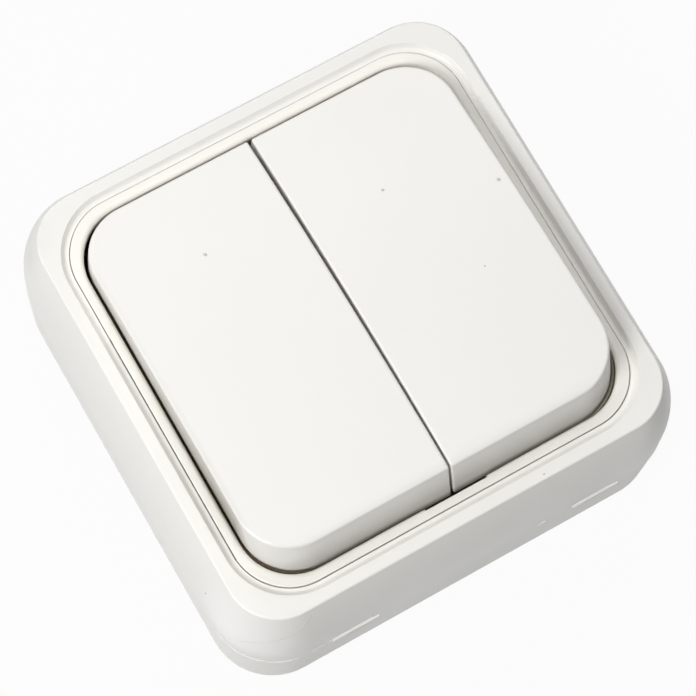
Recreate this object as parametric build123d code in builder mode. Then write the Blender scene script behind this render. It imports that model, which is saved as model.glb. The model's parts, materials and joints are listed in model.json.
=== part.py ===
"""Surface-mounted double rocker light switch.

X runs across the two rockers, Y up the wall along the split between them, Z out of the
wall. The origin is the middle of the back face. Both rockers stand with their -Y end up.
"""
import os
from math import atan, cos, degrees, radians, sin, tan

from build123d import *

# Driving dimensions
body_width = 80.8
cover_height = 33.0
tray_height = 13.5
rocker_tilt = 4.5
contact_tilt = 5.0
fixing_pitch = 60.0

# Case
wall = 2.2
floor = 2.4
half = body_width / 2
corner_radius = 11.1
corner_centre = half - corner_radius
corner_ledge = 0.25
foot_inset = 0.4
foot_half = half - foot_inset
wall_upright = 6.0
top_inset = 2.85
top_skin = 2.4
edge_radius = 0.4
core_margin = 0.6
land_step = 0.8
land_soft = 25.0
land_over = 0.1
ledge = 0.25
step_run = 1.2
cut_over = 1.0
rim_wall = 2.0
rim_depth = 5.0
lip_gap = 0.15
lip_thick = 1.2
lip_drop = 2.0
lip_shelf = 1.0

# Window, trim ring and clearances round the rockers
seam_gap = 0.12
swing_gap = 0.4
window_border = 6.1
ring_width = 1.68
ring_thick = 1.85
ring_sink = 0.45
ring_edge = 0.2
ring_lip = 0.7
ring_ease = 0.7
ring_overhang = 0.5
ring_seat_half = half - window_border
ring_outer_half = ring_seat_half - seam_gap
ring_inner_half = ring_outer_half - ring_width
window_half = ring_inner_half + ring_overhang
seat_radius = 9.6
window_radius = seat_radius - (ring_seat_half - window_half)
ring_inner_radius = seat_radius - ring_ease
ring_top = cover_height - ring_sink
ring_seat_z = ring_top - ring_thick
notch_width = 11.0
notch_depth = 0.35

# Rockers, drawn level and then tipped about the pivot
pivot_depth = 8.0
skirt_depth = 6.0
skirt_gap = 0.2
end_lean = 2.0
crown_rise = 5.1
crown_margin = 0.4
pivot_z = cover_height - pivot_depth
rocker_bottom = cover_height - skirt_depth
rocker_apex = cover_height + crown_rise
rocker_low_half = ring_inner_half - skirt_gap
rocker_high_half = ring_inner_half - end_lean
rocker_side = ring_inner_half - swing_gap
rocker_draft = 0.3
split_low = 0.2
split_high = 0.36
crown_radius = 300.0
rocker_corner = ring_inner_radius - swing_gap
rocker_skin = 1.8
rocker_edge = 0.5
roll_start = 1.2
roll_run = 1.8
roll_drop = 0.75
split_edge = 0.35
rib_thick = 1.2
rib_depth = 3.0
gang_x = (rocker_side + split_low) / 2

# Levers, which plug into the rockers and turn on two pins
lever_width = 11.6
lever_depth = 9.0
lever_drop = 4.0
lever_base = pivot_z - lever_drop
lever_gap = 0.65
lever_swing = 1.0
pin_radius = 2.0
bearing_gap = 0.1
head_gap = 0.7
head_top = rocker_apex - rocker_skin - head_gap
socket_gap = 0.1
socket_wall = 1.4
socket_drop = 3.0
socket_bottom = cover_height - socket_drop
snap_reach = 0.5
snap_width = 4.0
snap_height = 1.6
snap_gap = 0.2
snap_rise = 2.6
snap_z = socket_bottom + snap_rise
barrel_radius = 4.2

# Mechanism block
seat_rise = 3.0
seat_z = floor + seat_rise
plate = 2.0
block_floor = seat_z + plate
block_wall = 2.4
block_end = 2.0
chamber_half = gang_x + lever_width / 2 + lever_gap
cheek_outer = gang_x - lever_width / 2 - lever_gap
block_half = chamber_half + block_wall
pin_end_gap = 0.35
pin_reach = lever_width / 2 + lever_gap + block_wall - pin_end_gap
cheek_width = 2.5
cheek_half = 4.5
retainer_thick = 3.4
retainer_clear = 0.5
leg_thick = 1.5
leg_width = 6.0
leg_gap = 0.1
leg_drop = 6.0
leg_barb = 0.6
leg_hook = 1.2
leg_spread = 7.0
hook_gap = 0.2
hook_width = 5.0
hook_thick = 2.0
hook_lip = 1.3

# Contacts: a see-saw plate on a knife edge, with its tip over a fixed tip
strip = 0.8
strip_width = 5.0
strip_gap = 0.2
contact_half = 8.5
contact_width = 7.0
contact_notch = 0.8
notch_half = 1.5
tip_y = 7.0
tip_radius = 1.5
tip_thick = 0.5
tip_gap = 0.06
rest_width = 1.4
ridge_half = 1.4
ear_gap = 0.25
ear_half = 1.1
ear_rise = 1.6
strip_top = block_floor + strip
tip_drop = (tip_y + tip_radius) * sin(radians(contact_tilt)) + tip_thick * cos(radians(contact_tilt))
fulcrum_z = strip_top + tip_thick + tip_gap + tip_drop
rest_room = 2.5
tip_room = 0.5
chamber_low = -contact_half - rest_room
chamber_high = contact_half + tip_room
chamber_mid = (chamber_low + chamber_high) / 2
wall_low = chamber_low - block_end
wall_high = chamber_high + block_end

# Terminals
bay_back = 1.2
bay_front = 1.0
bay_rise = 1.6
bay_gap = 0.2
bay_x = (-gang_x, 0, gang_x)
clamp_width = 7.4
clamp_length = 7.0
clamp_height = 6.0
clamp_wall = 1.0
clamp_room = 0.8
clamp_y = wall_high + bay_back + clamp_room + clamp_length / 2
clamp_top = block_floor + clamp_height
terminal_end = clamp_y + clamp_length / 2 + bay_front
terminal_top = clamp_top + bay_rise
terminal_screw_radius = 1.5
terminal_head_radius = 2.7
terminal_head = 1.8
terminal_slot = 0.8
tongue_end = clamp_y + clamp_length / 2
plate_edge = 1.0
block_high = terminal_end + plate_edge
block_low = -block_high

# Plungers and springs inside the levers
plunger_radius = 2.0
plunger_gap = 0.1
plunger_lift = 0.05
nose_reach = 2.6
spigot_radius = 0.9
spigot_length = 2.0
spring_length = 5.0
spring_wire = 0.5
spring_turns = 4
spring_radius = 1.6
plunger_tip = fulcrum_z + strip + plunger_lift
barrel_bottom = plunger_tip + nose_reach
bore_roof = 0.65
bore_top = pivot_z - pin_radius - bore_roof
shoulder_z = bore_top - spring_length

# Fastenings
post_radius = 4.0
pad_radius = 3.0
pad_inset = 3.0
screw_radius = 1.45
screw_gap = 0.2
pilot_gap = 0.05
pilot_floor = 1.0
screw_head_radius = 2.8
screw_head = 2.0
screw_cross = 0.9
screw_cross_length = 3.4
screw_inset = 4.5
screw_edge = 4.0
mech_screw_x = block_half - screw_inset
mech_screw_y = block_low + screw_edge
slot_width = 4.4
slot_length = 9.0
boss_wall = 2.3
boss_height = 1.0
entry_length = 24.0
entry_width = 9.0
latch_x = 22.0
latch_width = 8.0
latch_thick = 1.6
latch_gap = 0.5
latch_room = 0.6
latch_side_room = 1.5
barb_reach = 0.7
barb_height = 2.2
barb_rise = 1.8
barb_gap = 0.1
catch_height = 1.0
catch_reach = 1.6
pry_height = 1.2
pry_depth = 0.35
tick_x = 12.8
tick_width = 1.5

pivot = Axis((0, 0, pivot_z), (1, 0, 0))
fulcrum = Axis((0, 0, fulcrum_z), (1, 0, 0))
draft_angle = degrees(atan(foot_inset / tray_height))


def write(piece, label):
    """Name a finished piece and save it."""
    piece.label = label
    export_step(piece, f"parts/{label}.step")


def rounded_path(reach, radius):
    """Closed square path with round corners, starting on the +X side."""
    centre = reach - radius
    with BuildLine(mode=Mode.PRIVATE) as path:
        Line((reach, 0), (reach, centre))
        CenterArc((centre, centre), radius, 0, 90)
        Line((centre, reach), (-centre, reach))
        CenterArc((-centre, centre), radius, 90, 90)
        Line((-reach, centre), (-reach, -centre))
        CenterArc((-centre, -centre), radius, 180, 90)
        Line((-centre, -reach), (centre, -reach))
        CenterArc((centre, -centre), radius, 270, 90)
        Line((reach, -centre), (reach, 0))
    return path.wires()[0]


os.makedirs("parts", exist_ok=True)

# Base tray: flared rim, floor with fixing slots, cable entry, posts, hooks and latches
cavity_half = foot_half - wall
cavity_radius = foot_half - corner_centre - wall
hook_y = block_high + hook_gap
hook_back = hook_y + hook_thick / 2
latch_face = cavity_half - latch_gap
latch_back = latch_face - latch_thick - latch_room
barb_z = tray_height + barb_rise
with BuildPart() as base_tray:
    with BuildSketch():
        RectangleRounded(2 * foot_half, 2 * foot_half, foot_half - corner_centre - corner_ledge)
    extrude(amount=tray_height, taper=-draft_angle)
    with BuildSketch(Plane.XY.offset(floor)):
        RectangleRounded(2 * cavity_half, 2 * cavity_half, cavity_radius)
    extrude(amount=tray_height, mode=Mode.SUBTRACT)
    # bosses round the wall screws
    with BuildSketch(Plane.XY.offset(floor)):
        with Locations((-fixing_pitch / 2, 0), (fixing_pitch / 2, 0)):
            SlotOverall(slot_length + 2 * boss_wall, slot_width + 2 * boss_wall)
    extrude(amount=boss_height)
    with BuildSketch():
        with Locations((-fixing_pitch / 2, 0), (fixing_pitch / 2, 0)):
            SlotOverall(slot_length, slot_width)
        with Locations((0, (block_high + cavity_half) / 2)):
            SlotOverall(entry_length, entry_width)
    extrude(amount=floor + boss_height, mode=Mode.SUBTRACT)
    # screw posts and seats under the mechanism
    with BuildSketch(Plane.XY.offset(floor)):
        with Locations((-mech_screw_x, mech_screw_y), (mech_screw_x, mech_screw_y)):
            Circle(post_radius)
        with Locations((-mech_screw_x, block_high - pad_inset), (mech_screw_x, block_high - pad_inset)):
            Circle(pad_radius)
    extrude(amount=seat_z - floor)
    with Locations((-mech_screw_x, mech_screw_y, seat_z), (mech_screw_x, mech_screw_y, seat_z)):
        Hole(screw_radius + pilot_gap, depth=seat_z - pilot_floor)
    # hooks over the far edge of the mechanism plate
    with Locations((-gang_x / 2, hook_back, floor), (gang_x / 2, hook_back, floor)):
        Box(hook_width, hook_thick, block_floor + hook_lip - floor,
            align=(Align.CENTER, Align.CENTER, Align.MIN))
    with Locations((-gang_x / 2, hook_y, block_floor), (gang_x / 2, hook_y, block_floor)):
        Box(hook_width, hook_thick, hook_lip, align=(Align.CENTER, Align.CENTER, Align.MIN))
    # latch tongues with barbs that hold the cover
    for side in (1, -1):
        for x in (-latch_x, latch_x):
            with BuildSketch(Plane.YZ.offset(x - latch_width / 2)):
                with BuildLine():
                    Polyline(
                        (side * (latch_face - latch_thick), floor),
                        (side * latch_face, floor),
                        (side * latch_face, barb_z),
                        (side * (latch_face + barb_reach), barb_z),
                        (side * latch_face, barb_z + barb_height),
                        (side * (latch_face - latch_thick), barb_z + barb_height),
                        close=True,
                    )
                make_face()
            extrude(amount=latch_width)
write(base_tray.part, "base_tray")

# Cover: wall that curves in above the parting line, swept round the corners, and a stepped window
top_half = half - top_inset
inner_top = cover_height - top_skin
rim_bottom = cover_height - rim_depth
core_half = corner_centre + core_margin
lip_half = cavity_half - lip_gap
lip_inner = lip_half - lip_thick
hollow_half = half - wall
with BuildPart() as cover:
    with BuildSketch(Plane.XZ):
        with BuildLine():
            upright = Line((half, tray_height), (half, tray_height + wall_upright))
            TangentArc(upright @ 1, (top_half, cover_height), tangent=upright % 1)
            Polyline(
                (top_half, cover_height),
                (core_half, cover_height),
                (core_half, tray_height),
                (half, tray_height),
            )
        make_face()
        fillet(vertices().group_by(Axis.Y)[-1].sort_by(Axis.X)[-1], radius=edge_radius)
    wall_path = rounded_path(half, corner_radius)
    sweep(path=wall_path)
    # hollow inside
    with BuildSketch(Plane.XY.offset(tray_height)):
        RectangleRounded(2 * hollow_half, 2 * hollow_half, corner_radius - wall)
    extrude(amount=inner_top - tray_height, taper=degrees(atan(top_inset / (cover_height - tray_height))),
            mode=Mode.SUBTRACT)
    # rim under the window
    with BuildSketch(Plane.XY.offset(rim_bottom)):
        RectangleRounded(2 * (window_half + rim_wall), 2 * (window_half + rim_wall), window_radius + rim_wall)
        RectangleRounded(2 * window_half, 2 * window_half, window_radius, mode=Mode.SUBTRACT)
    extrude(amount=inner_top - rim_bottom)
    # window, ring seat and the step round it
    with BuildSketch(Plane.XY.offset(tray_height)):
        RectangleRounded(2 * window_half, 2 * window_half, window_radius)
    extrude(amount=cover_height, mode=Mode.SUBTRACT)
    with BuildSketch(Plane.XY.offset(ring_seat_z)):
        RectangleRounded(2 * ring_seat_half, 2 * ring_seat_half, seat_radius)
    extrude(amount=cover_height, mode=Mode.SUBTRACT)
    with BuildSketch(Plane.XZ):
        with BuildLine():
            soft = Spline(
                (ring_seat_half + ledge, cover_height - land_step),
                (ring_seat_half + ledge + step_run, cover_height + land_over),
                tangents=((1, 0), (cos(radians(land_soft)), sin(radians(land_soft)))),
            )
            Polyline(
                soft @ 1,
                (ring_seat_half + ledge + step_run, cover_height + cut_over),
                (ring_seat_half - cut_over, cover_height + cut_over),
                (ring_seat_half - cut_over, cover_height - land_step),
                soft @ 0,
            )
        make_face()
    seat_path = rounded_path(ring_seat_half, seat_radius)
    sweep(path=seat_path, mode=Mode.SUBTRACT)
    # locating lip inside the tray, open at the latches
    with BuildSketch(Plane.XY.offset(tray_height - lip_drop)):
        RectangleRounded(2 * lip_half, 2 * lip_half, cavity_radius)
        RectangleRounded(2 * lip_inner, 2 * lip_inner, cavity_radius - lip_thick, mode=Mode.SUBTRACT)
    extrude(amount=lip_drop)
    with BuildSketch(Plane.XY.offset(tray_height)):
        RectangleRounded(2 * (hollow_half + lip_gap), 2 * (hollow_half + lip_gap), corner_radius - wall)
        RectangleRounded(2 * lip_inner, 2 * lip_inner, cavity_radius - lip_thick, mode=Mode.SUBTRACT)
    extrude(amount=lip_shelf)
    for side in (1, -1):
        outward = Align.MIN if side > 0 else Align.MAX
        with Locations((-latch_x, side * latch_back, tray_height), (latch_x, side * latch_back, tray_height)):
            Box(latch_width + 2 * latch_side_room, latch_face + barb_reach + barb_gap - latch_back,
                2 * lip_drop + lip_gap, align=(Align.CENTER, outward, Align.CENTER), mode=Mode.SUBTRACT)
        # ledges that the barbs hook over
        catch_y = side * (latch_face + barb_gap)
        with Locations((-latch_x, catch_y, barb_z - barb_gap), (latch_x, catch_y, barb_z - barb_gap)):
            Box(latch_width, catch_reach, catch_height, align=(Align.CENTER, outward, Align.MAX))
    # pry scoops and a gate mark over the parting line, where the tray's rim shows
    for x, width in ((-latch_x, latch_width), (latch_x, latch_width), (tick_x, tick_width)):
        with BuildSketch(Plane.YZ.offset(x - width / 2)):
            with BuildLine():
                Polyline(
                    (pry_depth - half, tray_height),
                    (-half, tray_height + pry_height),
                    (-half - pry_depth, tray_height + pry_height),
                    (-half - pry_depth, tray_height),
                    close=True,
                )
            make_face()
        extrude(amount=width, mode=Mode.SUBTRACT)
write(cover.part, "cover")

# Trim ring, resting in the window's seat, with a pry notch at the middle of the low side
with BuildPart() as trim_ring:
    with BuildSketch(Plane.XY.offset(ring_seat_z)):
        RectangleRounded(2 * ring_outer_half, 2 * ring_outer_half, seat_radius - seam_gap)
        RectangleRounded(2 * ring_inner_half, 2 * ring_inner_half, ring_inner_radius, mode=Mode.SUBTRACT)
    extrude(amount=ring_thick)
    fillet(trim_ring.faces().sort_by(Axis.Z)[-1].outer_wire().edges(), radius=ring_edge)
    fillet(trim_ring.faces().sort_by(Axis.Z)[-1].inner_wires()[0].edges(), radius=ring_lip)
    with Locations((0, -ring_inner_half, ring_seat_z)):
        Box(notch_width, 2 * notch_depth, 2 * ring_thick, mode=Mode.SUBTRACT)
write(trim_ring.part, "trim_ring")

# Rockers: crowned hollow caps, with ribs and a socket underneath for the lever's head
crown_drop = crown_radius - (crown_radius**2 - half**2) ** 0.5
socket_x = lever_width + 2 * socket_gap
socket_y = lever_depth + 2 * socket_gap
rib_bottom = rocker_apex - rocker_skin - rib_depth
retainer_top = pivot_z + retainer_thick
relief_top = retainer_top + retainer_clear + (wall_high - wall_low) / 2 * tan(radians(rocker_tilt))
relief_half = (wall_high - wall_low) / 2 + abs(chamber_mid) + 2 * retainer_clear


def rocker_block(inset, apex):
    """Drafted block under a crowned top, shrunk by an inset; split side on the left."""
    with BuildPart() as block:
        for z, length, side in (
            (rocker_bottom, rocker_low_half, rocker_side),
            (rocker_apex + crown_margin, rocker_high_half, rocker_side - rocker_draft),
        ):
            with BuildSketch(Plane.XY.offset(z)):
                with BuildLine():
                    Polyline(
                        (split_low + inset, inset - length),
                        (side - inset, inset - length),
                        (side - inset, length - inset),
                        (split_high + inset, length - inset),
                        close=True,
                    )
                make_face()
                fillet(vertices().group_by(Axis.X)[-1], radius=rocker_corner - inset)
        loft(ruled=True)
        with BuildSketch(Plane.YZ):
            with BuildLine():
                crown = ThreePointArc((-half, apex - crown_drop), (0, apex), (half, apex - crown_drop))
                Polyline(crown @ 1, (half, 0), (-half, 0), crown @ 0)
            make_face()
        extrude(amount=half, mode=Mode.INTERSECT)
    return block.part


with BuildPart() as rocker_hollow:
    add(rocker_block(rocker_skin, rocker_apex - rocker_skin))
    with Locations((gang_x, 0, rib_bottom)):
        Box(body_width, rib_thick, cover_height, align=(Align.CENTER, Align.CENTER, Align.MIN), mode=Mode.SUBTRACT)
        Box(rib_thick, body_width, cover_height, align=(Align.CENTER, Align.CENTER, Align.MIN), mode=Mode.SUBTRACT)
    with Locations((gang_x, 0, socket_bottom)):
        Box(socket_x + 2 * socket_wall, socket_y + 2 * socket_wall, cover_height,
            align=(Align.CENTER, Align.CENTER, Align.MIN), mode=Mode.SUBTRACT)

roll_y = roll_start - rocker_high_half
roll_z = rocker_apex - crown_radius + (crown_radius**2 - roll_y**2) ** 0.5
with BuildPart() as level_rocker:
    add(rocker_block(0, rocker_apex))
    # the raised end rolls over before it drops
    with BuildSketch(Plane.YZ):
        with BuildLine():
            roll = TangentArc(
                (roll_y, roll_z),
                (roll_y - roll_run, roll_z - roll_drop),
                tangent=(-(crown_radius**2 - roll_y**2) ** 0.5, roll_y),
            )
            over = roll @ 1 + (roll @ 1 - roll @ 0)
            Polyline(roll @ 1, over, (over.X, roll_z + cut_over), (roll_y, roll_z + cut_over), roll @ 0)
        make_face()
    extrude(amount=half, mode=Mode.SUBTRACT)
    roll_face, crown_face = level_rocker.faces().filter_by(GeomType.CYLINDER).sort_by(Axis.Y)
    crown_edges = crown_face.edges() - roll_face.edges()
    roll_edges = roll_face.edges() - crown_face.edges()
    fillet(crown_edges.sort_by(Axis.X)[1:] + roll_edges.sort_by(Axis.X)[1:], radius=rocker_edge)
    split_face = level_rocker.faces().sort_by(Axis.X)[0]
    split_edges = split_face.edges().filter_by_position(Axis.Z, rocker_bottom + rocker_edge, rocker_apex)
    fillet(split_edges, radius=split_edge)
    add(rocker_hollow.part, mode=Mode.SUBTRACT)
    with Locations((gang_x, 0, socket_bottom)):
        Box(socket_x, socket_y, head_top - socket_bottom,
            align=(Align.CENTER, Align.CENTER, Align.MIN), mode=Mode.SUBTRACT)
    with Locations((gang_x, 0, snap_z)):
        Box(socket_x + 2 * socket_wall, snap_width + 2 * snap_gap, snap_height + 2 * snap_gap, mode=Mode.SUBTRACT)
    # the inner wall is cut away over the retaining plate
    with Locations((0, 0, rocker_bottom)):
        Box(2 * (split_high + rocker_skin), 2 * relief_half, 2 * (relief_top - rocker_bottom), mode=Mode.SUBTRACT)
with BuildPart() as right_rocker:
    add(level_rocker.part.rotate(pivot, -rocker_tilt))
write(right_rocker.part, "right_rocker")
with BuildPart() as left_rocker:
    add(right_rocker.part.mirror(Plane.YZ))
write(left_rocker.part, "left_rocker")

# Levers, plungers and springs under the rockers
with BuildPart() as level_lever:
    with BuildSketch(Plane.XY.offset(lever_base)):
        Rectangle(lever_width, lever_depth)
    extrude(amount=head_top - lever_base)
    with BuildSketch(Plane.XY.offset(barrel_bottom)):
        Circle(barrel_radius)
    extrude(amount=lever_base - barrel_bottom)
    with Locations((0, 0, pivot_z)):
        Cylinder(pin_radius, 2 * pin_reach, rotation=(0, 90, 0))
    with Locations((0, 0, snap_z)):
        Box(socket_x + 2 * snap_reach, snap_width, snap_height)
    with BuildSketch(Plane.XY.offset(barrel_bottom)):
        Circle(plunger_radius + plunger_gap)
    extrude(amount=bore_top - barrel_bottom, mode=Mode.SUBTRACT)

with BuildPart() as level_plunger:
    with BuildSketch(Plane.XZ):
        with BuildLine():
            nose = CenterArc((0, plunger_tip + plunger_radius), plunger_radius, -90, 90)
            Polyline(
                nose @ 1,
                (plunger_radius, shoulder_z),
                (spigot_radius, shoulder_z),
                (spigot_radius, shoulder_z + spigot_length),
                (0, shoulder_z + spigot_length),
                nose @ 0,
            )
        make_face()
    revolve(axis=Axis.Z)

with BuildPart() as level_spring:
    with BuildLine() as coil:
        Helix(
            pitch=(spring_length - spring_wire) / spring_turns,
            height=spring_length - spring_wire,
            radius=spring_radius,
            center=(0, 0, shoulder_z + spring_wire / 2),
        )
    with BuildSketch(coil.line ^ 0):
        RegularPolygon(spring_wire / 2, 6)
    sweep(path=coil.line, is_frenet=True)

for side, x in (("left", -gang_x), ("right", gang_x)):
    for level, name in ((level_lever, "actuator"), (level_plunger, "plunger"), (level_spring, "spring")):
        with BuildPart() as tipped:
            add(Pos(x, 0, 0) * level.part.rotate(pivot, -rocker_tilt))
        write(tipped.part, f"{side}_{name}")

# Mechanism block: plate, contact chamber with bearing cheeks, and three terminal bays
bay_start = wall_high + bay_back
stop_top = fulcrum_z - contact_half * tan(radians(contact_tilt)) - tip_gap
strip_way = strip + tip_thick + 2 * strip_gap
leg_end = pivot_z - leg_drop
leg_spots = [(x, chamber_mid + y) for x in (block_half, -block_half) for y in (-leg_spread, leg_spread)]
with BuildPart() as mechanism_body:
    with BuildSketch(Plane.XY.offset(seat_z)):
        with Locations((0, (block_low + block_high) / 2)):
            Rectangle(2 * block_half, block_high - block_low)
        with Locations((-mech_screw_x, mech_screw_y), (mech_screw_x, mech_screw_y)):
            Circle(screw_radius + screw_gap, mode=Mode.SUBTRACT)
    extrude(amount=plate)
    with BuildSketch(Plane.XY.offset(block_floor)):
        with Locations((0, chamber_mid)):
            Rectangle(2 * block_half, wall_high - wall_low)
            Rectangle(2 * chamber_half, chamber_high - chamber_low, mode=Mode.SUBTRACT)
        with Locations((cheek_outer - cheek_width / 2, 0), (cheek_width / 2 - cheek_outer, 0)):
            Rectangle(cheek_width, 2 * cheek_half)
    extrude(amount=pivot_z - block_floor)
    with BuildSketch(Plane.XY.offset(block_floor)):
        with Locations((0, (wall_high + terminal_end) / 2)):
            Rectangle(2 * block_half, terminal_end - wall_high)
        for x in bay_x:
            with Locations((x, (bay_start + terminal_end) / 2)):
                Rectangle(clamp_width + 2 * bay_gap, terminal_end - bay_start, mode=Mode.SUBTRACT)
    extrude(amount=terminal_top - block_floor)
    # ways through the end wall for the strips; the middle one is open to the top
    for x, height in zip(bay_x, (strip_way, pivot_z, strip_way)):
        with BuildSketch(Plane.XY.offset(block_floor)):
            with Locations((x, chamber_high)):
                Rectangle(strip_width + 2 * strip_gap, 2 * (bay_start - chamber_high))
        extrude(amount=height, mode=Mode.SUBTRACT)
    # rests under the low ends of the contacts
    with BuildSketch(Plane.XY.offset(block_floor)):
        with Locations((-gang_x, -contact_half), (gang_x, -contact_half)):
            Rectangle(contact_width, rest_width)
    extrude(amount=stop_top - block_floor)
    # bearings for the levers' pins and pockets for the retaining plate's barbs
    with Locations((0, 0, pivot_z)):
        Cylinder(pin_radius + bearing_gap, body_width, rotation=(0, 90, 0), mode=Mode.SUBTRACT)
    with Locations(*[(x, y, leg_end + leg_hook / 2) for x, y in leg_spots]):
        Box(2 * (leg_barb + leg_gap), leg_width + 4 * leg_gap, leg_hook + 4 * leg_gap, mode=Mode.SUBTRACT)
write(mechanism_body.part, "mechanism_body")

# Retaining plate, clipped over the block by four legs
with BuildPart() as retaining_plate:
    with BuildSketch(Plane.XY.offset(pivot_z)):
        with Locations((0, chamber_mid)):
            Rectangle(2 * (block_half + leg_gap + leg_thick), wall_high - wall_low)
        with Locations((-gang_x, 0), (gang_x, 0)):
            Rectangle(lever_width + 2 * lever_gap, lever_depth + 2 * lever_swing, mode=Mode.SUBTRACT)
    extrude(amount=retainer_thick)
    for x, y in leg_spots:
        outward = Align.MIN if x > 0 else Align.MAX
        clip_face = x + leg_gap if x > 0 else x - leg_gap
        barb_face = x - leg_barb if x > 0 else x + leg_barb
        with Locations((clip_face, y, leg_end)):
            Box(leg_thick, leg_width, leg_drop, align=(outward, Align.CENTER, Align.MIN))
        with Locations((barb_face, y, leg_end)):
            Box(leg_barb + leg_gap, leg_width, leg_hook, align=(outward, Align.CENTER, Align.MIN))
    with Locations((0, 0, pivot_z)):
        Cylinder(pin_radius + bearing_gap, body_width, rotation=(0, 90, 0), mode=Mode.SUBTRACT)
write(retaining_plate.part, "retaining_plate")

# Live busbar: stem to the middle terminal, cross bar, and a fulcrum with ears in each chamber
bar_low = strip_gap + rest_width / 2 - contact_half
bar_high = -cheek_half - strip_gap
ear_in = contact_width / 2 - contact_notch + ear_gap
ear_out = ear_in + strip
with BuildPart() as live_busbar:
    with BuildSketch(Plane.XY.offset(block_floor)):
        with Locations((0, (bar_low + tongue_end) / 2)):
            Rectangle(strip_width, tongue_end - bar_low)
        with Locations((0, (bar_low + bar_high) / 2)):
            Rectangle(2 * (gang_x + ear_out), bar_high - bar_low)
        with Locations((-gang_x, (bar_low + ridge_half) / 2), (gang_x, (bar_low + ridge_half) / 2)):
            Rectangle(2 * ear_out, ridge_half - bar_low)
    extrude(amount=strip)
    for x in (-gang_x, gang_x):
        with BuildSketch(Plane.YZ.offset(x - ear_in)):
            with BuildLine():
                Polyline((-ridge_half, strip_top), (ridge_half, strip_top), (0, fulcrum_z), close=True)
            make_face()
        extrude(amount=2 * ear_in)
        with Locations((x - (ear_in + ear_out) / 2, 0, strip_top), (x + (ear_in + ear_out) / 2, 0, strip_top)):
            Box(strip, 2 * ear_half, fulcrum_z + ear_rise - strip_top, align=(Align.CENTER, Align.CENTER, Align.MIN))
write(live_busbar.part, "live_busbar")

# Contacts, tips, load strips and clamps
load_start = tip_y - tip_radius - strip
with BuildPart() as level_contact:
    with BuildSketch(Plane.XY.offset(fulcrum_z)):
        Rectangle(contact_width, 2 * contact_half)
        with Locations((-contact_width / 2, 0), (contact_width / 2, 0)):
            Rectangle(2 * contact_notch, 2 * notch_half, mode=Mode.SUBTRACT)
    extrude(amount=strip)
with BuildPart() as level_tip:
    with Locations((0, tip_y, fulcrum_z)):
        Cylinder(tip_radius, tip_thick, align=(Align.CENTER, Align.CENTER, Align.MAX))
with BuildPart() as load_strip:
    with BuildSketch(Plane.XY.offset(block_floor)):
        with Locations((0, (load_start + tongue_end) / 2)):
            Rectangle(strip_width, tongue_end - load_start)
    extrude(amount=strip)
with BuildPart() as fixed_tip:
    with Locations((0, tip_y, strip_top)):
        Cylinder(tip_radius, tip_thick, align=(Align.CENTER, Align.CENTER, Align.MIN))
with BuildPart() as clamp:
    with Locations((0, clamp_y, block_floor)):
        Box(clamp_width, clamp_length, clamp_height, align=(Align.CENTER, Align.CENTER, Align.MIN))
        Box(clamp_width - 2 * clamp_wall, clamp_length, clamp_height - clamp_wall,
            align=(Align.CENTER, Align.CENTER, Align.MIN), mode=Mode.SUBTRACT)
    with Locations((0, clamp_y, clamp_top)):
        Hole(terminal_screw_radius + pilot_gap, depth=clamp_wall)

for side, x in (("left", -gang_x), ("right", gang_x)):
    for level, name in ((level_contact, "contact"), (level_tip, "moving_tip")):
        with BuildPart() as tipped:
            add(Pos(x, 0, 0) * level.part.rotate(fulcrum, contact_tilt))
        write(tipped.part, f"{side}_{name}")
    for flat, name in ((load_strip, "load_strip"), (fixed_tip, "fixed_tip")):
        with BuildPart() as placed:
            add(Pos(x, 0, 0) * flat.part)
        write(placed.part, f"{side}_{name}")
for name, x in zip(("left_clamp", "live_clamp", "right_clamp"), bay_x):
    with BuildPart() as placed:
        add(Pos(x, 0, 0) * clamp.part)
    write(placed.part, name)

# Screws
with BuildPart() as terminal_screws:
    for x in bay_x:
        with Locations((x, clamp_y, clamp_top)):
            Cylinder(terminal_screw_radius, clamp_top - strip_top, align=(Align.CENTER, Align.CENTER, Align.MAX))
            Cylinder(terminal_head_radius, terminal_head, align=(Align.CENTER, Align.CENTER, Align.MIN))
        with Locations((x, clamp_y, clamp_top + terminal_head)):
            Box(terminal_slot, 2 * terminal_head_radius, terminal_head, mode=Mode.SUBTRACT)
write(terminal_screws.part, "terminal_screws")

with BuildPart() as mechanism_screws:
    for x in (-mech_screw_x, mech_screw_x):
        with Locations((x, mech_screw_y, block_floor)):
            Cylinder(screw_radius, block_floor - 1.5 * pilot_floor, align=(Align.CENTER, Align.CENTER, Align.MAX))
            Cylinder(screw_head_radius, screw_head, align=(Align.CENTER, Align.CENTER, Align.MIN))
        with Locations((x, mech_screw_y, block_floor + screw_head)):
            Box(screw_cross, screw_cross_length, screw_head, mode=Mode.SUBTRACT)
            Box(screw_cross_length, screw_cross, screw_head, mode=Mode.SUBTRACT)
write(mechanism_screws.part, "mechanism_screws")
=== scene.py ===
"""Finishes, small marks, light and camera for the surface-mounted double light switch."""
import json
from math import cos, pi, radians, sin

import bmesh
import bpy
from mathutils import Euler, Matrix, Vector


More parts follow.
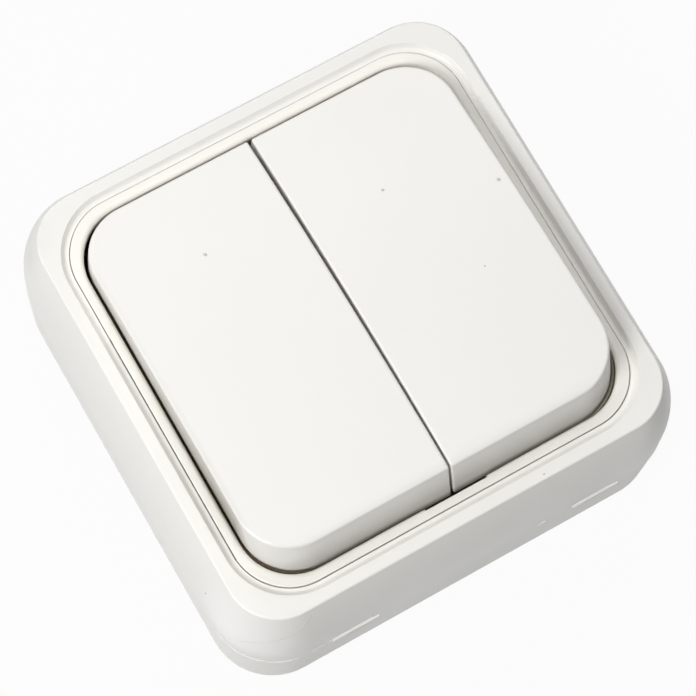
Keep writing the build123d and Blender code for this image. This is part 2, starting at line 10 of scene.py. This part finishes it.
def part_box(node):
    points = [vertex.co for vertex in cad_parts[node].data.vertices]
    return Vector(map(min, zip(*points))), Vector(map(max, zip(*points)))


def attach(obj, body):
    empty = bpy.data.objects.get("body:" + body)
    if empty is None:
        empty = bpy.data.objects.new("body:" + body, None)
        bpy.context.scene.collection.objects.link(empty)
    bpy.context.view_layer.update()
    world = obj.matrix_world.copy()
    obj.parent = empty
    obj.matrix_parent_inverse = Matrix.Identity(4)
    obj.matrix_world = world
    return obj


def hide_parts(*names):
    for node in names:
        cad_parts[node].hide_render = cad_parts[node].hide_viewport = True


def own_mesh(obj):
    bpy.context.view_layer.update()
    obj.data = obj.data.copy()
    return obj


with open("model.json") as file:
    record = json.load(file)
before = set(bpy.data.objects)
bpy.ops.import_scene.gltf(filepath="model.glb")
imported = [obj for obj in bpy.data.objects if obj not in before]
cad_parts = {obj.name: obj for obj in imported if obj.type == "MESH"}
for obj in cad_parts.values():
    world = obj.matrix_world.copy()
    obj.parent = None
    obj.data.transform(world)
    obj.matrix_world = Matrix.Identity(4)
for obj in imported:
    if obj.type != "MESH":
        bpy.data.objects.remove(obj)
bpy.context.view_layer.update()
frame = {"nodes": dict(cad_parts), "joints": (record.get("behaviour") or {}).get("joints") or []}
scene = bpy.context.scene
MM = 0.001

# Levels and outlines of the switch that the finishes and marks follow, in millimetres
ring_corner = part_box("trim_ring")[1] / MM
ring_top = ring_corner.z
ring_width = 1.68
ring_inner_half = ring_corner.x - ring_width
ring_inner_radius = 8.9
seam_gap = 0.12
seat_half = ring_corner.x + seam_gap
seat_radius = 9.6
notch_half = 5.5
rocker_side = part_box("right_rocker")[1].x / MM
rocker_front = 29.6
front_wall = -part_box("cover")[0].y / MM
parting = 13.5

# Floor that stays dark under the switch, a little inside the foot, in millimetres
dark_half = 38.0
dark_radius = 10.0


# Node trees written as Python


def spaced(sockets):
    """Socket names written as keywords, with their spaces put back."""
    return {key.replace("_", " "): value for key, value in sockets.items()}


class Value:
    """A socket that takes Python arithmetic; each operator adds one Math node."""

    def __init__(self, tree, socket):
        self.tree = tree
        self.socket = socket

    def math(self, operation, *others, clamp=False):
        node = self.tree.nodes.new("ShaderNodeMath")
        node.operation = operation
        node.use_clamp = clamp
        for place, other in enumerate((self, *others)):
            if isinstance(other, Value):
                self.tree.links.new(other.socket, node.inputs[place])
            else:
                node.inputs[place].default_value = other
        return Value(self.tree, node.outputs[0])

    def __add__(self, other):
        return self.math("ADD", other)

    __radd__ = __add__

    def __mul__(self, other):
        return self.math("MULTIPLY", other)

    __rmul__ = __mul__

    def __sub__(self, other):
        return self.math("SUBTRACT", other)

    def __rsub__(self, other):
        return self * -1.0 + other

    def __truediv__(self, other):
        return self.math("DIVIDE", other)

    def __abs__(self):
        return self.math("ABSOLUTE")

    def atleast(self, other):
        return self.math("MAXIMUM", other)

    def clamped(self):
        return self.math("ADD", 0.0, clamp=True)

    def ramp(self, start, end):
        """0 up to one level and 1 from the other on, whichever of them is higher."""
        return (self - start).math("DIVIDE", end - start, clamp=True)


class Nodes:
    """A node tree under construction."""

    def __init__(self, tree):
        self.tree = tree

    def feed(self, socket, value):
        if isinstance(value, Value):
            self.tree.links.new(value.socket, socket)
        elif socket.type == "RGBA":
            socket.default_value = (*value, 1.0)
        else:
            socket.default_value = value

    def node(self, kind, settings=None, sockets=None, out=0):
        """Add a node: its settings first, then its sockets; hand back one output."""
        made = self.tree.nodes.new(kind)
        for key, value in (settings or {}).items():
            setattr(made, key, value)
        for key, value in (sockets or {}).items():
            self.feed(made.inputs[key], value)
        return Value(self.tree, made.outputs[out])


class Finish(Nodes):
    """A material with a Principled shader, patterned on Object coordinates."""

    def __init__(self, name, **constants):
        self.material = bpy.data.materials.new(name)
        self.material.use_nodes = True
        super().__init__(self.material.node_tree)
        self.shader = self.tree.nodes["Principled BSDF"]
        self.paint(**constants)
        self.place = self.node("ShaderNodeTexCoord", out="Object")

    def paint(self, **sockets):
        """Set or connect sockets of the shader and hand back the material."""
        for socket, value in spaced(sockets).items():
            self.feed(self.shader.inputs[socket], value)
        return self.material

    def axes(self):
        """The three Object coordinates as values in millimetres."""
        split = self.node("ShaderNodeSeparateXYZ", sockets={"Vector": self.place}).socket.node
        return [Value(self.tree, split.outputs[axis]) / MM for axis in "XYZ"]

    def noise(self, scale, detail=2.0, roughness=0.5):
        sockets = {"Vector": self.place, "Scale": scale, "Detail": detail, "Roughness": roughness}
        return self.node("ShaderNodeTexNoise", sockets=sockets)

    def mix(self, factor, under, over):
        """Two colours, or colour sockets, blended by a value."""
        sockets = {"Factor": factor, 6: under, 7: over}
        return self.node("ShaderNodeMix", {"data_type": "RGBA"}, sockets, out=2)

    def spot(self, centre, radius, soft):
        """Mask that is 1 inside a ball and fades out over a share of its radius; sizes in millimetres."""
        sockets = {0: self.place, 1: Vector(centre) * MM}
        away = self.node("ShaderNodeVectorMath", {"operation": "DISTANCE"}, sockets, out="Value")
        return (away / MM).ramp(radius, radius * (1.0 - soft))

    def bump(self, height, depth, strength):
        """Normal of a relief; its depth in millimetres."""
        sockets = {"Height": height, "Distance": depth * MM, "Strength": strength}
        return self.node("ShaderNodeBump", sockets=sockets)


class Recipe(Nodes):
    """A Geometry Nodes tree with named inputs, in metres, that grows small marks on the switch."""

    def __init__(self, name, **inputs):
        super().__init__(bpy.data.node_groups.new(name, "GeometryNodeTree"))
        face = self.tree.interface
        face.new_socket("Geometry", in_out="INPUT", socket_type="NodeSocketGeometry")
        for label, default in inputs.items():
            kind = "NodeSocketInt" if isinstance(default, int) else "NodeSocketFloat"
            face.new_socket(label, in_out="INPUT", socket_type=kind).default_value = default
        face.new_socket("Geometry", in_out="OUTPUT", socket_type="NodeSocketGeometry")
        self.given = self.tree.nodes.new("NodeGroupInput")

    def input(self, label):
        return Value(self.tree, self.given.outputs[label])

    def geometry(self, kind, settings=None, **sockets):
        return self.node("GeometryNode" + kind, settings, spaced(sockets))

    def vector(self, x, y, z):
        return self.node("ShaderNodeCombineXYZ", sockets={"X": x, "Y": y, "Z": z})

    def uneven(self, low, high, scale):
        """A field that wanders between two numbers from place to place."""
        sockets = {"Vector": self.geometry("InputPosition"), "Scale": scale}
        return self.node("ShaderNodeTexNoise", sockets=sockets) * (high - low) + low

    def chance(self, low, high, seed):
        """A vector drawn for each point between two others."""
        sockets = {0: low, 1: high, "Seed": seed}
        return self.node("FunctionNodeRandomValue", {"data_type": "FLOAT_VECTOR"}, sockets)

    def tube(self, path, thickness, step, unevenness):
        """A closed thin roll along a path."""
        fine = self.geometry("ResampleCurve", {"mode": "LENGTH"}, Curve=path, Length=step)
        profile = self.geometry("CurvePrimitiveCircle", Resolution=6, Radius=thickness)
        return self.geometry(
            "CurveToMesh", Curve=fine, Profile_Curve=profile, Scale=unevenness, Fill_Caps=True
        )

    def close(self, geometry, material):
        solid = self.geometry("RealizeInstances", Geometry=geometry)
        painted = self.geometry("SetMaterial", Geometry=solid, Material=material)
        end = self.tree.nodes.new("NodeGroupOutput")
        self.feed(end.inputs["Geometry"], painted)
        return self

    def grow(self, name, body, points, edges=(), **sizes):
        """Run the tree on a set of points and keep the result as a plain mesh riding on a body."""
        start = bpy.data.meshes.new(name + "_start")
        start.from_pydata(points, edges, [])
        carrier = bpy.data.objects.new(name + "_start", start)
        scene.collection.objects.link(carrier)
        modifier = carrier.modifiers.new("recipe", "NODES")
        modifier.node_group = self.tree
        for item in self.tree.interface.items_tree:
            if item.in_out == "INPUT" and item.name in sizes:
                modifier[item.identifier] = sizes[item.name]
        depsgraph = bpy.context.evaluated_depsgraph_get()
        mesh = bpy.data.meshes.new_from_object(carrier.evaluated_get(depsgraph))
        bpy.data.objects.remove(carrier)
        bpy.data.meshes.remove(start)
        piece = bpy.data.objects.new(name, mesh)
        scene.collection.objects.link(piece)
        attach(piece, body)
        return piece


# Finishes


plastic_ior = 1.5
# Brown of the painted shade in gaps, seams and on the rocker flanks
painted_shade_brown = (0.35, 0.32, 0.265)


def moulded_white(name, colour, shade, roughness, painted_shade=None, marks=(), highlight_and_coat=None):
    """Moulded plastic: faint clouding, fine grain, painted shade, marks, a coat and a painted highlight.
    """
    finish = Finish(name, IOR=plastic_ior)
    cloud = finish.noise(scale=45.0, detail=3.0)
    grain = finish.noise(scale=2600.0)
    tint = finish.mix((cloud * 1.4 - 0.2).clamped(), colour, shade)
    tint = finish.mix((grain * 0.05).clamped(), tint, shade)
    rough = cloud * 0.10 + grain * 0.06 + (roughness - 0.08)
    # Painted shade where the mask is high: a darker, browner tint and a rougher surface
    if painted_shade:
        patchy = finish.noise(scale=170.0, detail=3.0) * 0.7 + 0.65
        shade_mask = (painted_shade(*finish.axes()) * patchy).clamped()
        tint = finish.mix(shade_mask, tint, painted_shade_brown)
        rough = rough + shade_mask * 0.25
    for centre, radius, strength, stain in marks:
        broken = (finish.noise(scale=420.0, detail=3.0) * 2.2 - 0.6).clamped() * 0.7 + 0.3
        tint = finish.mix(finish.spot(centre, radius, soft=1.0) * broken * strength, tint, stain)
    # A spot with a coat; its lighter tint is a painted highlight
    if highlight_and_coat:
        centre, radius, highlight_colour = highlight_and_coat
        highlight_and_coat_spot = finish.spot(centre, radius, soft=0.8)
        tint = finish.mix(highlight_and_coat_spot, tint, highlight_colour)
        finish.paint(Coat_Weight=highlight_and_coat_spot, Coat_Roughness=0.22)
    peel = finish.bump(finish.noise(scale=700.0) * 0.7 + grain * 0.3, depth=0.02, strength=0.35)
    return finish.paint(Base_Color=tint, Roughness=rough, Normal=peel)


def beyond(x, y, half, radius):
    """How far a place lies outside a square with rounded corners."""
    past_x = (abs(x) - (half - radius)).atleast(0.0)
    past_y = (abs(y) - (half - radius)).atleast(0.0)
    return (past_x * past_x + past_y * past_y).math("SQRT") - radius


def rocker_painted_shade(x, y, z):
    """Painted shade in the rockers' gap, on their outer flanks and edge; darker low on their raised ends.
    """
    gap = z.ramp(ring_top - 0.85, ring_top - 2.25) * 0.55
    flank = abs(x).ramp(rocker_side - 0.40, rocker_side - 0.10) * 0.72
    left_edge = x.ramp(1.5 - rocker_side, 0.3 - rocker_side) * 0.20
    along = y.ramp(-28.0, -21.0) * (1.0 - y.ramp(-14.0, 10.0) * 0.5)
    raised_end = y.ramp(-rocker_front, -rocker_front - 1.0) * z.ramp(37.0, 33.0) * 0.17
    return gap.atleast((flank + left_edge) * along).atleast(raised_end)


def ring_painted_shade(x, y, z):
    """Painted shade low on the ring's inner lip and in the seam outside it."""
    return z.ramp(ring_top - 0.75, ring_top - 1.05) * 0.6


def case_painted_shade(x, y, z):
    """Painted shade in the seam between the cover and the ring, stronger towards the low corner."""
    inside = beyond(x, y, seat_half, seat_radius).ramp(0.12, 0.02)
    stronger_low = 0.70 - x * 0.006 - y * 0.006
    return z.ramp(ring_top - 0.1, ring_top - 0.4) * inside * stronger_low


def matt_grey(name, colour, shade):
    """Filled plastic of the hidden mechanism, matt with a coarse grain."""
    finish = Finish(name, IOR=plastic_ior)
    cloud = finish.noise(scale=120.0, detail=3.0)
    grain = finish.noise(scale=3000.0, detail=1.0)
    relief = finish.bump(grain, depth=0.03, strength=0.4)
    tint = finish.mix(cloud, colour, shade)
    return finish.paint(Base_Color=tint, Roughness=0.55 + grain * 0.2, Normal=relief)


def stamped(name, colour, tarnish, roughness):
    """Stamped or plated metal with dull patches and a fine brushed grain along Y."""
    finish = Finish(name, Metallic=1.0)
    patch = finish.noise(scale=260.0, detail=4.0, roughness=0.6)
    stretch = {"Vector": finish.place, "Scale": (9000.0, 500.0, 9000.0)}
    stretched = finish.node("ShaderNodeMapping", sockets=stretch)
    streaks = {"Vector": stretched, "Scale": 1.0, "Detail": 1.0}
    brush = finish.node("ShaderNodeTexNoise", sockets=streaks)
    tint = finish.mix((patch * 1.6 - 0.45).clamped(), colour, tarnish)
    rough = brush * 0.18 + patch * 0.15 + (roughness - 0.15)
    relief = finish.bump(brush, depth=0.01, strength=0.5)
    return finish.paint(Base_Color=tint, Roughness=rough, Normal=relief)


def dust(name, colour, shade):
    """Dry dust and dirt, matt and lumpy."""
    finish = Finish(name, IOR=1.4)
    lump = finish.noise(scale=2500.0, detail=3.0, roughness=0.6)
    relief = finish.bump(lump, depth=0.06, strength=0.8)
    tint = finish.mix(lump, colour, shade)
    return finish.paint(Base_Color=tint, Roughness=0.85 + lump * 0.1, Normal=relief)


# Marks in the plastic: centre and radius in millimetres, strength where it varies, colour
# A greyer, broken patch at the far left corner of the cover
far_corner_grey = ((-37.8, 34.4, 29.5), 6.0, 0.40, (0.62, 0.61, 0.58))
smudge = ((8.5, 25.9, 34.8), 1.4, 0.10, (0.80, 0.74, 0.55))
# Low corner: a lighter tint as a painted highlight, and a coat over the same spot
corner_highlight_and_coat = ((-38.4, -33.8, 24.5), 10.0, (0.985, 0.978, 0.955))

rocker_white = (0.914, 0.901, 0.868)
rocker_shade = (0.900, 0.886, 0.850)
# Cover: painted shade in the ring's seam, a greyer far corner, and a coat with a painted highlight at the
# low corner
case_finish = moulded_white(
    "case_white", (0.918, 0.906, 0.870), (0.900, 0.886, 0.846), 0.38,
    case_painted_shade, marks=[far_corner_grey], highlight_and_coat=corner_highlight_and_coat,
)
# Tray tinted a little darker than the cover: painted shade on the lower part of the walls
tray_finish = moulded_white("tray_white", (0.905, 0.895, 0.862), (0.885, 0.872, 0.832), 0.40)
# Ring: painted shade low in its gap and seam
ring_finish = moulded_white(
    "ring_white", (0.938, 0.920, 0.866), (0.922, 0.902, 0.842), 0.32, ring_painted_shade
)
# Rockers: painted shade in their gap and on their flanks; the right one also has a smudge
left_finish = moulded_white("left_rocker_white", rocker_white, rocker_shade, 0.36, rocker_painted_shade)
right_finish = moulded_white(
    "right_rocker_white", rocker_white, rocker_shade, 0.36, rocker_painted_shade, marks=[smudge]
)
block_finish = matt_grey("block_grey", (0.66, 0.64, 0.58), (0.58, 0.56, 0.50))
lever_finish = matt_grey("lever_cream", (0.78, 0.76, 0.70), (0.70, 0.68, 0.62))
brass_finish = stamped("contact_brass", (0.80, 0.60, 0.28), (0.52, 0.36, 0.15), 0.32)
silver_finish = stamped("tip_silver", (0.86, 0.85, 0.82), (0.55, 0.53, 0.50), 0.30)
steel_finish = stamped("zinc_steel", (0.74, 0.75, 0.76), (0.52, 0.53, 0.54), 0.34)
dark_dust = dust("dark_dust", (0.145, 0.108, 0.070), (0.095, 0.070, 0.045))
# Grey-olive dust whose tone is also painted shade of the right rocker's flank at its corner
pale_dust = dust("pale_dust", (0.255, 0.235, 0.180), (0.175, 0.160, 0.118))
# Dirt of the specks, also the colour of the painted-shade line in the ring's seam
speck_dirt = dust("speck_dirt", (0.16, 0.155, 0.145), (0.09, 0.085, 0.08))
# Grey of the scuffs, also used for the painted reflection edge at the low corner
scuff_and_reflection_edge = dust("scuff_grey", (0.70, 0.70, 0.68), (0.60, 0.60, 0.58))

finishes = {
    "base_tray": tray_finish,
    "cover": case_finish,
    "trim_ring": ring_finish,
    "left_rocker": left_finish,
    "right_rocker": right_finish,
    "mechanism_body": block_finish,
    "retaining_plate": block_finish,
    "live_busbar": brass_finish,
    "terminal_screws": steel_finish,
    "mechanism_screws": steel_finish,
    "live_clamp": steel_finish,
}
for side in ("left", "right"):
    finishes.update({
        f"{side}_actuator": lever_finish,
        f"{side}_plunger": lever_finish,
        f"{side}_spring": steel_finish,
        f"{side}_contact": brass_finish,
        f"{side}_moving_tip": silver_finish,
        f"{side}_fixed_tip": silver_finish,
        f"{side}_load_strip": brass_finish,
        f"{side}_clamp": steel_finish,
    })
for node, material in finishes.items():
    mesh = frame["nodes"][node].data
    mesh.materials.clear()
    mesh.materials.append(material)


# Springs in the levers, copied onto the keys


def sprung_coil(side):
    """The coil in a lever's bore, copied from its spring and riding on its key; its shortest length is
    unused.
    """
    shape = bmesh.new()
    shape.from_mesh(frame["nodes"][f"{side}_spring"].data)
    bmesh.ops.remove_doubles(shape, verts=shape.verts, dist=0.001 * MM)
    mesh = bpy.data.meshes.new(f"{side}_coil")
    shape.to_mesh(mesh)
    shape.free()
    mesh.materials.append(steel_finish)
    coil = bpy.data.objects.new(f"{side}_coil", mesh)
    scene.collection.objects.link(coil)
    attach(coil, f"{side}_key")
    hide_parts(f"{side}_spring")
    slide = next(joint for joint in frame["joints"] if joint["name"] == f"{side}_plunger_slide")
    along = Vector(slide["axis"]).normalized()
    ends = sorted((vertex.co for vertex in mesh.vertices), key=along.dot)
    length = along.dot(ends[-1] - ends[0])
    shortest = 1.0 - slide["range_m"][1] / length
    ends[-1].copy()
    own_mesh(coil)


sprung_coil("left")
sprung_coil("right")


# Small marks on the surfaces


def on_surface(node, places):
    """The points of a piece's surface nearest to places in millimetres."""
    carrier = frame["nodes"][node]
    return [carrier.closest_point_on_mesh(Vector(place) * MM)[1] for place in places]


def chain(points):
    """Edges that join points one after another."""
    return [(i, i + 1) for i in range(len(points) - 1)]


def hairline_recipe(name, material):
    """A fine broken line along a chain of points."""
    recipe = Recipe(name, Thickness=0.05 * MM)
    path = recipe.geometry("MeshToCurve", Mesh=recipe.input("Geometry"))
    smooth = recipe.geometry("CurveSplineType", {"spline_type": "CATMULL_ROM"}, Curve=path)
    broken = recipe.uneven(0.3, 1.3, scale=700.0)
    line = recipe.tube(smooth, recipe.input("Thickness"), step=0.3 * MM, unevenness=broken)
    return recipe.close(line, material)


def ledge_recipe(name, material):
    """Flat half-sunk bars, one on each point."""
    recipe = Recipe(name, Length=8.4 * MM, Depth=0.5 * MM, Height=0.22 * MM)
    half = recipe.input("Length") * 0.5
    start = recipe.vector(half * -1.0, 0.0, 0.0)
    end = recipe.vector(half, 0.0, 0.0)
    line = recipe.geometry("CurvePrimitiveLine", Start=start, End=end)
    depth = recipe.input("Depth")
    wavy = recipe.uneven(0.9, 1.1, scale=900.0)
    bar = recipe.tube(line, depth, step=0.6 * MM, unevenness=wavy)
    flatten = recipe.vector(1.0, 1.0, recipe.input("Height") / depth)
    flat = recipe.geometry("Transform", Geometry=bar, Scale=flatten)
    bars = recipe.geometry("InstanceOnPoints", Points=recipe.input("Geometry"), Instance=flat)
    return recipe.close(bars, material)


def speck_recipe(name, material):
    """Small angular grains, one on each point, each turned and stretched its own way."""
    recipe = Recipe(name, Grain=0.16 * MM, Seed=3)
    grain = recipe.geometry("MeshIcoSphere", Radius=recipe.input("Grain"), Subdivisions=1)
    seed = recipe.input("Seed")
    turn = recipe.chance((0.0, 0.0, 0.0), (0.4, 0.4, 6.28), seed)
    stretch = recipe.chance((0.7, 0.4, 0.4), (1.4, 0.9, 0.6), seed + 7)
    spread = recipe.geometry(
        "InstanceOnPoints",
        Points=recipe.input("Geometry"), Instance=grain, Rotation=turn, Scale=stretch,
    )
    return recipe.close(spread, material)


def gap_dust_recipe(name, material):
    """A roll of dust along a path, its corners eased a little more than the trim ring's."""
    recipe = Recipe(name, Corner=(ring_inner_radius + 0.9) * MM, Thickness=0.28 * MM)
    path = recipe.geometry("MeshToCurve", Mesh=recipe.input("Geometry"))
    eased = recipe.geometry(
        "FilletCurve", {"mode": "POLY"}, Curve=path, Count=12, Radius=recipe.input("Corner")
    )
    lumpy = recipe.uneven(0.6, 1.1, scale=500.0)
    roll = recipe.tube(eased, recipe.input("Thickness"), step=0.6 * MM, unevenness=lumpy)
    return recipe.close(roll, material)


specks = speck_recipe("specks", speck_dirt)
scuffs = speck_recipe("scuffs", scuff_and_reflection_edge)
case_specks = on_surface("cover", [(13.0, -36.8, 33.0), (-40.3, -26.3, 25.0)])
left_scuff = on_surface("left_rocker", [(-15.5, 17.9, 36.4)])
right_scuffs = on_surface("right_rocker", [(29.9, 6.2, 37.4), (13.5, 13.6, 36.7)])
right_speck = on_surface("right_rocker", [(20.7, -5.1, 38.4)])
specks.grow("specks_case", "case", case_specks, Seed=5, Grain=0.13 * MM)
scuffs.grow("specks_left", "left_key", left_scuff, Seed=11, Grain=0.4 * MM)
scuffs.grow("scuffs_right", "right_key", right_scuffs, Seed=11, Grain=0.4 * MM)
specks.grow("specks_right", "right_key", right_speck, Seed=8)

# Dust from beside the ring's notch, round the low corners and up the sides
dust_level = ring_top - 1.25
dust_start = (notch_half + 0.7, -ring_inner_half)
dust_corner = (ring_inner_half, -ring_inner_half)
dust_end = (ring_inner_half, 20.0)
dust_turns = (dust_start, dust_corner, dust_end)
# The right-hand roll is dust and also painted shade of the rocker's flank
for name, sign, material in (("gap_dust_left", -1, dark_dust), ("gap_dust_right", 1, pale_dust)):
    dust_path = [Vector((sign * x, y, dust_level)) * MM for x, y in dust_turns]
    gap_dust_recipe(name, material).grow(name, "case", dust_path, chain(dust_path))

# Ledges and gate mark on the front wall, just above the parting line
ledges = ledge_recipe("pry_ledges", case_finish)
ledge_y = -(front_wall - 0.05)
ledge_z = parting + 0.2
ledge_places = [Vector((x, ledge_y, ledge_z)) * MM for x in (-21.1, 22.7)]
gate_place = [Vector((12.8, ledge_y, ledge_z)) * MM]
ledges.grow("pry_ledges", "case", ledge_places)
gate_mark = ledges.grow("gate_mark", "case", gate_place, Length=1.5 * MM, Depth=0.22 * MM)

# Fine lines: mould flash and a painted reflection edge at the low corner, painted shade in the ring's seam
flash_z = parting + 0.1
flash_turns = ((-33.5, -38.6), (-32.0, -39.4), (-30.5, -40.0), (-28.8, -40.4), (-26.6, -40.4))
flash_path = on_surface("cover", [(x, y, flash_z) for x, y in flash_turns])
flash = hairline_recipe("mould_flash", case_finish)
mould_flash = flash.grow("mould_flash", "case", flash_path, chain(flash_path), Thickness=0.09 * MM)
# A dark line in the seam on the left side: painted shade
seam_x = 0.05 - seat_half
seam_z = ring_top - 0.17
seam_path = [Vector((seam_x, y, seam_z)) * MM for y in (14.0, 4.0, -6.0, -16.0, -25.5)]
seam = hairline_recipe("seam_dirt", speck_dirt)
seam.grow("seam_dirt", "case", seam_path, chain(seam_path), Thickness=0.1 * MM)
# A grey line across the low corner: the painted lower edge of a reflection
reflection_edge_path = on_surface("cover", [
    (-28.4, -38.3, 31.5),
    (-30.2, -39.0, 29.3),
    (-32.5, -38.9, 27.8),
    (-34.5, -38.2, 26.7),
    (-36.1, -37.3, 25.5),
    (-37.6, -36.0, 24.1),
    (-38.7, -34.9, 22.6),
])
reflection_edge = hairline_recipe("flow_line", scuff_and_reflection_edge)
reflection_edge.grow("flow_line", "case", reflection_edge_path, chain(reflection_edge_path), Thickness=0.05 * MM)


# Floor, light and camera


def seen_share(nodes):
    """1 for rays that show the background: straight from the camera, mirrored or through glass."""
    path = nodes.node("ShaderNodeLightPath").socket.node.outputs
    straight, mirrored, through = (
        Value(nodes.tree, path[name]) for name in ("Is Camera Ray", "Is Glossy Ray", "Is Transmission Ray")
    )
    return straight.atleast(mirrored).atleast(through)


def white_floor(whiteness):
    """Pale floor that looks white round the switch, keeps a light shadow of it and is dark under it."""
    bpy.ops.mesh.primitive_plane_add(size=4.0, location=(0, 0, -0.05 * MM))
    floor = bpy.context.object
    floor.name = "floor"
    finish = Finish("floor_white", Base_Color=(0.47, 0.47, 0.47), Roughness=0.9)
    plain = Value(finish.tree, finish.shader.outputs[0])
    glow = finish.node("ShaderNodeEmission")
    x, y, _ = finish.axes()
    open_floor = beyond(x, y, dark_half, dark_radius).clamped()
    share = seen_share(finish) * open_floor * whiteness
    blend = finish.node("ShaderNodeMixShader", sockets={0: share, 1: plain, 2: glow})
    finish.feed(finish.tree.nodes["Material Output"].inputs["Surface"], blend)
    floor.data.materials.append(finish.material)


def white_world(strength):
    """Even white surroundings, seen as white and lighting at a lower strength."""
    world = bpy.data.worlds.new("studio")
    world.use_nodes = True
    scene.world = world
    nodes = Nodes(world.node_tree)
    back = nodes.tree.nodes["Background"]
    nodes.feed(back.inputs["Color"], (1.0, 1.0, 1.0))
    nodes.feed(back.inputs["Strength"], seen_share(nodes) * (1.0 - strength) + strength)


def soft_light(name, azimuth, elevation, distance, size, level):
    """Square lamp aimed at the switch; level 1 lights a white face turned to it as white."""
    aim = Vector((0.0, 0.0, 30.0 * MM))
    turn = radians(azimuth)
    rise = radians(elevation)
    away = Vector((cos(rise) * cos(turn), cos(rise) * sin(turn), sin(rise))) * distance
    lamp = bpy.data.lights.new(name, "AREA")
    lamp.size = size
    lamp.energy = level * (pi * distance) ** 2
    holder = bpy.data.objects.new(name, lamp)
    holder.location = away + aim
    holder.rotation_euler = (-away).to_track_quat("-Z", "Y").to_euler()
    scene.collection.objects.link(holder)


def photo_camera():
    """The photograph's camera, fitted to the switch's outline; place in millimetres, turn in degrees."""
    place = Vector((-83.768, -106.101, 466.610)) * MM
    turn = Euler([radians(angle) for angle in (16.4117, -2.5955, -29.8278)])
    camera = bpy.data.cameras.new("camera")
    camera.sensor_width = 36.0
    camera.lens = 152.55
    camera.clip_start = 0.01
    viewer = bpy.data.objects.new("camera", camera)
    viewer.matrix_world = Matrix.LocRotScale(place, turn, None)
    scene.collection.objects.link(viewer)
    scene.camera = viewer


white_floor(whiteness=0.95)
white_world(strength=0.03)
soft_light("key_left", azimuth=198, elevation=44, distance=0.55, size=0.22, level=0.635)
soft_light("fill_left", azimuth=138, elevation=40, distance=0.70, size=0.40, level=0.17)
soft_light("fill_behind", azimuth=65, elevation=40, distance=0.80, size=0.60, level=0.385)
soft_light("fill_above", azimuth=0, elevation=86, distance=0.80, size=0.50, level=0.075)
soft_light("fill_front", azimuth=298, elevation=54, distance=0.80, size=0.50, level=0.165)
photo_camera()
scene.view_settings.view_transform = "Standard"
